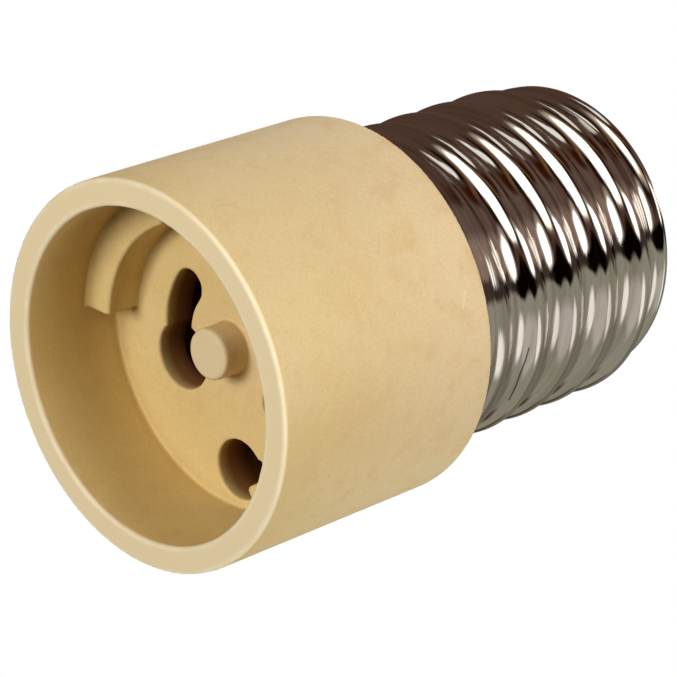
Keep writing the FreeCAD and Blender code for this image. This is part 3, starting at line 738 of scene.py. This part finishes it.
def ceramic_material():
    """Cream steatite: cloudy, with tiny dark specks, a paler ground rim with a painted highlight on its
    worn edges, a browner inside, and painted shade in the holes and nooks.
    """
    material, board, shader, place = new_material("ceramic_finish")
    patches = board.noise(place, 260.0, 4.0, 0.6)
    grain = board.noise(place, 2600.0, 2.0, 0.6)
    axes = board.node("ShaderNodeSeparateXYZ", {"Vector": place}).outputs
    radius = distance_from_axis(board, axes)
    colour = fired_clay(board, place, axes["Z"], patches, grain)
    colour = pale_rim(board, colour, radius, axes["Z"], patches)
    colour = toned_cup(board, colour, radius, axes["Z"])
    dots = specks(board, place, SPECK_SIZE, SPECK_SPACING, SPECK_SHARE)
    colour = board.mix(board.product(dots, SPECK_STRENGTH), colour, SPECK_TONE)
    mark = scuff(board, place, *SCUFF, SCUFF_WIDTH)
    colour = board.mix(board.product(mark, SCUFF_STRENGTH), colour, SCUFF_TONE)
    board.feed(shader.inputs["Base Color"], colour)
    board.feed(shader.inputs["Roughness"], board.ramp(patches, 0.3, 0.7, 0.42, 0.56))
    shader.inputs["Specular IOR Level"].default_value = 0.35
    height = board.math("ADD", board.product(grain, 0.35), patches)
    board.feed(shader.inputs["Normal"], board.relief(height, 0.5, 0.07))
    return material


NICKEL_TONE = linear(224, 219, 212)
NICKEL_WARM_TONE = linear(218, 212, 202)
BAND_TONE = linear(196, 184, 172)
PIT_TONE = linear(70, 60, 50)
SCRATCH_TONE = linear(60, 50, 42)

PIT_SIZE = 0.16
PIT_SPACING = 6.0
PIT_SHARE = 0.12
PIT_STRENGTH = 0.7
SHELL_SCRATCH = ((15.99, 10.26, 44.29), (14.78, 11.76, 44.28), (13.40, 13.14, 44.28), (11.86, 14.65, 44.46),
                 (10.02, 16.08, 44.69))
SCRATCH_WIDTH = 0.13
SCRATCH_STRENGTH = 0.8


def nickel_material():
    """Nickel plate with a drifting tone, fine bands from rolling, a few pits and one dark scratch."""
    material, board, shader, place = new_material("nickel_finish")
    drift = board.noise(place, 90.0, 2.0)
    film = board.noise(stretched(board, place, 1.0, 3.0), 400.0, 3.0)
    bands = board.noise(stretched(board, place, 25.0, 1400.0), 1.0, 3.0, 0.6)
    ripple = board.noise(stretched(board, place, 1.0, 0.35), 150.0, 2.0)
    shade = board.mix(board.ramp(drift, 0.35, 0.65), NICKEL_TONE, NICKEL_WARM_TONE)
    shade = board.mix(board.ramp(bands, 0.42, 0.66, 0.0, 0.8), shade, BAND_TONE)
    pits = specks(board, place, PIT_SIZE, PIT_SPACING, PIT_SHARE)
    shade = board.mix(board.product(pits, PIT_STRENGTH), shade, PIT_TONE)
    for start, end in zip(SHELL_SCRATCH, SHELL_SCRATCH[1:]):
        mark = scuff(board, place, start, end, SCRATCH_WIDTH)
        shade = board.mix(board.product(mark, SCRATCH_STRENGTH), shade, SCRATCH_TONE)
    board.feed(shader.inputs["Base Color"], shade)
    shader.inputs["Metallic"].default_value = 1.0
    board.feed(shader.inputs["Roughness"], board.ramp(film, 0.35, 0.75, 0.03, 0.06))
    waves = board.relief(ripple, 0.5, 0.1)
    board.feed(shader.inputs["Normal"], board.relief(bands, 0.8, 0.04, waves))
    return material


def glaze_material():
    material, board, shader, place = new_material("glaze_finish")
    drift = board.noise(place, 120.0, 3.0)
    colour = board.mix(drift, linear(26, 23, 26), linear(40, 34, 36))
    board.feed(shader.inputs["Base Color"], colour)
    board.feed(shader.inputs["Roughness"], board.ramp(board.noise(place, 500.0), 0.3, 0.7, 0.08, 0.16))
    board.feed(shader.inputs["Normal"], board.relief(drift, 0.3, 0.1))
    return material


def worn_metal(name, bright, dull, rough_low, rough_high, grain_scale):
    """A metal whose tone and gloss drift, with a fine grain."""
    material, board, shader, place = new_material(name)
    drift = board.noise(place, 220.0, 4.0, 0.6)
    colour = board.mix(board.ramp(drift, 0.35, 0.7), bright, dull)
    board.feed(shader.inputs["Base Color"], colour)
    shader.inputs["Metallic"].default_value = 1.0
    board.feed(shader.inputs["Roughness"], board.ramp(drift, 0.3, 0.7, rough_low, rough_high))
    grain = board.noise(place, grain_scale, 2.0)
    board.feed(shader.inputs["Normal"], board.relief(grain, 0.2, 0.05))
    return material


def matt_material(name, light, dark, scale, depth):
    """A dull finish with a grain of this scale, and relief of this depth in millimetres."""
    material, board, shader, place = new_material(name)
    drift = board.noise(place, scale, 4.0, 0.6)
    board.feed(shader.inputs["Base Color"], board.mix(drift, light, dark))
    shader.inputs["Roughness"].default_value = 0.85
    board.feed(shader.inputs["Normal"], board.relief(drift, 0.6, depth))
    return material


def sleeve_material():
    """Woven glass sleeve: fine crossing threads."""
    material, board, shader, place = new_material("sleeve_finish")
    waves = []
    for turn in (0.7, -0.7):
        turned = board.node("ShaderNodeMapping", {"Vector": place, "Rotation": (turn, turn, 0.0)})
        wave = board.node("ShaderNodeTexWave", {"Vector": turned.outputs["Vector"], "Scale": 700.0})
        waves.append(wave.outputs["Fac"])
    weave = board.product(*waves)
    board.feed(shader.inputs["Base Color"], board.mix(weave, linear(196, 190, 172), linear(228, 224, 210)))
    shader.inputs["Roughness"].default_value = 0.8
    board.feed(shader.inputs["Normal"], board.relief(weave, 0.6, 0.1))
    return material


CERAMIC = ceramic_material()
NICKEL = nickel_material()
GLAZE = glaze_material()
BRASS = worn_metal("brass_finish", linear(222, 190, 128), linear(190, 152, 92), 0.22, 0.38, 3000.0)
SOLDER = worn_metal("solder_finish", linear(196, 196, 194), linear(150, 150, 150), 0.32, 0.55, 1500.0)
SPRING = worn_metal("spring_finish", linear(206, 203, 198), linear(178, 174, 168), 0.2, 0.32, 4000.0)
CEMENT = matt_material("cement_finish", linear(206, 196, 172), linear(160, 148, 124), 900.0, 0.2)
SLEEVE = sleeve_material()

FINISHES = {
    "ceramic": CERAMIC,
    "nickel_shell": NICKEL,
    "end_ceramic": GLAZE,
    "contact_brass": BRASS,
    "solder": SOLDER,
    "cement": CEMENT,
    "clip_metal": SPRING,
    "terminal_metal": BRASS,
    "lead_sleeve": SLEEVE,
}


def dress_nodes():
    slots = {part["node"]: part["material_slot"] for part in frame["record"]["subparts"]}
    for name, node in frame["nodes"].items():
        for slot in node.material_slots:
            slot.material = FINISHES[slots[name]]


dress_nodes()
MOULDING = make_ceramic_body()
MOULDING.data.materials.append(CERAMIC)
SHELL = make_screw_shell()
SHELL.data.materials.append(NICKEL)


# Studio: white behind the object, soft lamps, and a brown room with bright boxes for the metal to reflect

WHITE = (1.0, 1.0, 1.0, 1.0)
WORLD_FILL = 0.05
FILL_TONE = (1.0, 0.98, 0.95, 1.0)


def make_world():
    """White for the camera and for mirror and glass rays, and a low even fill for everything else."""
    world = bpy.data.worlds.new("studio")
    bpy.context.scene.world = world
    world.use_nodes = True
    board = Board(world.node_tree)
    board.nodes.clear()
    path = board.node("ShaderNodeLightPath").outputs
    seen = board.math("MAXIMUM", path["Is Camera Ray"], path["Is Glossy Ray"])
    seen = board.math("MAXIMUM", seen, path["Is Transmission Ray"])
    fill = board.node("ShaderNodeBackground", {"Color": FILL_TONE, "Strength": WORLD_FILL})
    white = board.node("ShaderNodeBackground", {"Color": WHITE, "Strength": 1.0})
    both = board.node("ShaderNodeMixShader", {"Fac": seen, 1: fill.outputs[0], 2: white.outputs[0]})
    board.node("ShaderNodeOutputWorld", {"Surface": both.outputs[0]})


# What the shell reflects, as the photograph shows it: a brown room with two soft boxes and a strip,
# a dark gap, and a grey table that mirrors one box. Each patch has its azimuth from the camera toward
# the photograph's right, its elevation, half width, half height and softness in degrees, the slope of
# its level line, its squareness (2 is an ellipse), its tone and how strong that is

PATCH_FIELDS = "name azimuth elevation half_width half_height softness slope squareness tone strength"
Patch = namedtuple("Patch", PATCH_FIELDS)

ROOM_TONE = linear(90, 68, 59)
TABLE_TONE = linear(153, 151, 139)
ROOM_PATCHES = [
    Patch("room_right", 105, 38, 50, 9, 8, 0.0, 4, linear(105, 87, 79), 1.0),
    Patch("gap_between_boxes", 12, 25, 16, 32, 9, 0.0, 4, linear(38, 23, 16), 1.0),
    Patch("dark_ceiling", -10, 66, 50, 7, 5, 0.0, 4, linear(27, 18, 15), 1.0),
    Patch("dark_orange", 68, 55, 34, 8, 7, 0.0, 3, linear(58, 23, 5), 1.0),
    Patch("amber", 5, 51, 42, 5, 5, 0.0, 3, linear(116, 90, 66), 1.0),
    Patch("ceiling", 95, 76, 75, 8, 4, 0.0, 3, linear(250, 248, 246), 1.1),
    Patch("haze", 92, 16, 26, 14, 8, 0.0, 3, linear(147, 124, 115), 1.0),
    Patch("dark_far", 158, 28, 12, 14, 7, 0.35, 3, linear(47, 32, 25), 1.0),
    Patch("dark_right", 125, 4, 60, 5, 4, 0.0, 4, linear(73, 58, 52), 1.0),
    Patch("left_box_edge", -28, 18, 32, 27, 8, 0.0, 2.6, linear(208, 198, 182), 1.0),
    Patch("left_box", -29, 15, 27, 24, 5, 0.0, 2.6, linear(255, 253, 248), 2.3),
    Patch("right_box_edge", 50, 7, 31, 18, 9, 0.0, 2.6, linear(192, 180, 173), 1.0),
    Patch("right_box", 53, 8, 23, 13.5, 5, 0.04, 2.6, linear(255, 254, 250), 2.4),
    Patch("strip", 137, 12, 30, 3.6, 3, -0.2, 2.2, linear(255, 250, 242), 1.5),
]
TABLE_PATCHES = [
    Patch("behind", 180, -30, 20, 34, 10, 0.0, 3, linear(74, 56, 48), 1.0),
    Patch("table_light", 5, -58, 55, 15, 10, 0.05, 3, linear(196, 190, 184), 1.0),
    Patch("table_far", 150, -30, 30, 22, 14, 0.0, 3, linear(123, 120, 107), 1.0),
    Patch("box_in_table", 80, -39, 25, 14, 9, 0.0, 2, linear(250, 246, 243), 1.15),
]

# These patches are openings in the dome. The metal sees the white background through them, and a glow of
# the box's own tone is added to it
OPEN_TO_BACKGROUND = ("left_box", "right_box")
BOX_GLOW = 0.57
GAP_TONE = linear(8, 3, 2)
GAP_FAR_TONE = linear(69, 56, 51)

# The table's far edge and the gap over it, as elevations and as the azimuths between which they change
EDGE_LOW = -32.0
EDGE_RISES = (12.0, 108.0)
EDGE_FALLS = (-180.0, -90.0)
EDGE_SOFT = 2.5
GAP_HEIGHTS = (18.0, 7.0)
GAP_NARROWS = (20.0, 95.0)
GAP_PALES = (45.0, 95.0)
GAP_STARTS = (-38.0, -8.0)
GAP_ENDS = (150.0, 175.0)
GAP_SOFT = 3.0

# In metres
DOME_RADIUS = 4.0


def patch_mask(board, azimuth, elevation, patch):
    across = board.math("WRAP", board.math("SUBTRACT", azimuth, patch.azimuth), 180.0, -180.0)
    level = board.math("SUBTRACT", elevation, patch.elevation)
    up = board.math("SUBTRACT", level, board.product(across, patch.slope))
    powers = []
    for off, half in ((across, patch.half_width), (up, patch.half_height)):
        share = board.math("ABSOLUTE", board.math("DIVIDE", off, half))
        powers.append(board.math("POWER", share, patch.squareness))
    reach = board.math("POWER", board.math("ADD", *powers), 1.0 / patch.squareness)
    edge = patch.softness / min(patch.half_width, patch.half_height) / 2
    return board.ramp(reach, 1.0 - edge, 1.0 + edge, 1.0, 0.0)


def add_patches(board, azimuth, elevation, colour, patches):
    for patch in patches:
        glow = tuple(value * patch.strength for value in patch.tone)
        colour = board.mix(patch_mask(board, azimuth, elevation, patch), colour, glow)
    return colour


def table_edge(board, azimuth):
    """Elevation of the table's far edge."""
    rises = board.ramp(azimuth, *EDGE_RISES, EDGE_LOW, 0.0)
    falls = board.ramp(azimuth, *EDGE_FALLS, 0.0, EDGE_LOW)
    return board.math("MAXIMUM", rises, falls)


def add_gap(board, azimuth, above_edge, colour):
    """The dark gap that stands on the table's edge."""
    tone = board.mix(board.ramp(azimuth, *GAP_PALES), GAP_TONE, GAP_FAR_TONE)
    over_gap = board.math("SUBTRACT", above_edge, board.ramp(azimuth, *GAP_NARROWS, *GAP_HEIGHTS))
    gap = board.product(board.ramp(over_gap, -GAP_SOFT, GAP_SOFT, 1.0, 0.0),
                        board.ramp(azimuth, *GAP_STARTS),
                        board.ramp(azimuth, *GAP_ENDS, 1.0, 0.0))
    return board.mix(gap, colour, tone)


def room_colour(board, azimuth, elevation):
    above_edge = board.math("SUBTRACT", elevation, table_edge(board, azimuth))
    room = add_patches(board, azimuth, elevation, ROOM_TONE, ROOM_PATCHES)
    room = add_gap(board, azimuth, above_edge, room)
    table = add_patches(board, azimuth, elevation, TABLE_TONE, TABLE_PATCHES)
    return board.mix(board.ramp(above_edge, -EDGE_SOFT, EDGE_SOFT, 1.0, 0.0), room, table)


def open_share(board, azimuth, elevation):
    """How far the dome is open in each direction."""
    masks = [patch_mask(board, azimuth, elevation, patch) for patch in ROOM_PATCHES
             if patch.name in OPEN_TO_BACKGROUND]
    return board.math("MAXIMUM", *masks)


def room_material():
    """Gives the dome's light by its direction from the middle, open where the two boxes are."""
    material = bpy.data.materials.new("studio_room")
    material.use_nodes = True
    board = Board(material.node_tree)
    board.nodes.clear()
    place = board.node("ShaderNodeNewGeometry").outputs["Position"]
    heading = board.vector("NORMALIZE", {0: place})
    right, up, back = [board.vector("DOT_PRODUCT", {0: heading, 1: tuple(axis)}, "Value")
                       for axis in (PHOTO_RIGHT, PHOTO_UP, PHOTO_BACK)]
    azimuth = board.math("DEGREES", board.math("ARCTAN2", right, back))
    elevation = board.math("DEGREES", board.math("ARCSINE", up))
    colour = room_colour(board, azimuth, elevation)
    wall = board.node("ShaderNodeEmission", {"Color": colour})
    glow = board.node("ShaderNodeEmission", {"Color": colour, "Strength": BOX_GLOW})
    clear = board.node("ShaderNodeBsdfTransparent")
    box = board.node("ShaderNodeAddShader", {0: clear.outputs[0], 1: glow.outputs[0]})
    opened = open_share(board, azimuth, elevation)
    surface = board.node("ShaderNodeMixShader", {"Fac": opened, 1: wall.outputs[0], 2: box.outputs[0]})
    board.node("ShaderNodeOutputMaterial", {"Surface": surface.outputs[0]})
    material.cycles.emission_sampling = "NONE"
    return material


def make_reflected_studio():
    """A dome that only mirror rays see, coloured by direction as that room."""
    bpy.ops.mesh.primitive_uv_sphere_add(segments=48, ring_count=24, radius=DOME_RADIUS)
    dome = bpy.context.object
    dome.name = "reflected_studio"
    dome.visible_camera = False
    dome.visible_diffuse = False
    dome.visible_shadow = False
    dome.data.materials.append(room_material())


# Lamps stand round the object's middle, in metres
LAMP_DISTANCE = 0.7
LAMP_TARGET = Vector((0.0, 0.0, 0.035))
TABLE_BOUNCE = (0.94, 1.0, 0.95)


def area_lamp(name, right, up, toward, size, watts, colour=(1.0, 1.0, 1.0)):
    """A soft lamp in a direction given along the photograph's right, up and toward the camera."""
    heading = photo_direction(right, up, toward)
    data = bpy.data.lights.new(name, "AREA")
    data.shape = "DISK"
    data.size = size
    data.energy = watts
    data.color = colour
    lamp = bpy.data.objects.new(name, data)
    bpy.context.scene.collection.objects.link(lamp)
    lamp.location = LAMP_TARGET + heading * LAMP_DISTANCE
    lamp.rotation_mode = "QUATERNION"
    lamp.rotation_quaternion = heading.to_track_quat("Z", "Y")
    lamp.visible_glossy = False


# Floor, in metres: just under the rim, and its glow near the object and farther off
FLOOR_SIZE = 6.0
FLOOR_DROP = 0.0002
FLOOR_TONE = (0.62, 0.62, 0.61, 1.0)
NEAR_REACH = (0.1, 0.6)
NEAR_GLOW = (0.3, 0.62)
FAR_REACH = (0.6, 2.4)
FAR_GLOW = (0.0, 0.36)


def make_floor():
    """Pale floor, clear from its underside, so that the photo's camera, which is below it, looks past it.

    For the camera it has a glow of its own that grows with distance, so that it meets the white
    background evenly while the object's shadow stays."""
    bpy.ops.mesh.primitive_plane_add(size=FLOOR_SIZE, location=(0.0, 0.0, -FLOOR_DROP))
    floor = bpy.context.object
    floor.name = "floor"
    floor.visible_diffuse = False
    floor.visible_glossy = False
    floor.visible_transmission = False
    floor.visible_shadow = False
    material = bpy.data.materials.new("floor_finish")
    material.use_nodes = True
    board = Board(material.node_tree)
    shader = material.node_tree.nodes["Principled BSDF"]
    shader.inputs["Base Color"].default_value = FLOOR_TONE
    shader.inputs["Roughness"].default_value = 0.9
    place = board.node("ShaderNodeNewGeometry").outputs["Position"]
    away = board.vector("LENGTH", {0: place}, "Value")
    near_glow = board.ramp(away, *NEAR_REACH, *NEAR_GLOW)
    glow = board.math("ADD", near_glow, board.ramp(away, *FAR_REACH, *FAR_GLOW))
    seen = board.node("ShaderNodeLightPath").outputs["Is Camera Ray"]
    shader.inputs["Emission Color"].default_value = WHITE
    board.feed(shader.inputs["Emission Strength"], board.product(glow, seen))
    clear = board.node("ShaderNodeBsdfTransparent")
    facing = board.node("ShaderNodeNewGeometry").outputs["Backfacing"]
    mix = board.node("ShaderNodeMixShader", {"Fac": facing, 1: shader.outputs[0], 2: clear.outputs[0]})
    board.feed(material.node_tree.nodes["Material Output"].inputs["Surface"], mix.outputs[0])
    floor.data.materials.append(material)


make_world()
make_reflected_studio()
make_floor()
area_lamp("front_right", 0.70, 0.04, 0.70, 0.45, 4.5)
area_lamp("cup_side", -0.67, 0.05, 0.74, 0.3, 3.65)
area_lamp("top_back", 0.10, 0.65, -0.75, 0.5, 3.6)
area_lamp("top", 0.00, 1.00, 0.00, 0.5, 0.6)
area_lamp("under_back", -0.10, -0.82, -0.56, 0.5, 4.4, TABLE_BOUNCE)

bpy.context.scene.view_settings.view_transform = "Standard"
